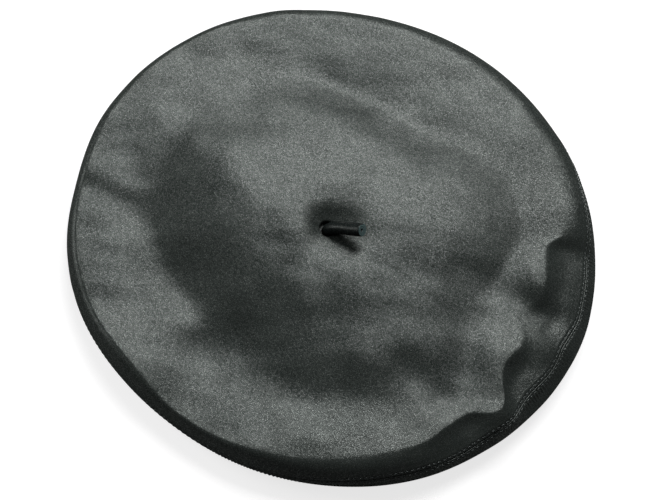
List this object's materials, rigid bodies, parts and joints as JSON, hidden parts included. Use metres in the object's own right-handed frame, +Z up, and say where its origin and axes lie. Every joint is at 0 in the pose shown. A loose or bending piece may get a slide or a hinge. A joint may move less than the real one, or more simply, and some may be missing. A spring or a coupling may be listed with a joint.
{
  "type": "leather beret",
  "caption": "Round leather beret lying flat: a soft crown disc, an under panel, an inner head band and a short rolled stalk.",
  "frame": {"origin": "middle of what the beret rests on, at the height of the table", "axes": "+Z up out of the crown, +X towards the dented side of the rim, +Y away from the pictured side"},
  "size_m": [0.2827, 0.2802, 0.0424],
  "materials": {
    "crown_leather": "fine pebbled grain, soft sheen",
    "band_leather": "smooth, matt",
    "rolled_leather": "smooth, soft sheen"
  },
  "bodies": {
    "root": {"top_panel": "crown_leather", "under_panel": "crown_leather", "head_band": "band_leather", "stalk": "rolled_leather"}
  },
  "joints": []
}
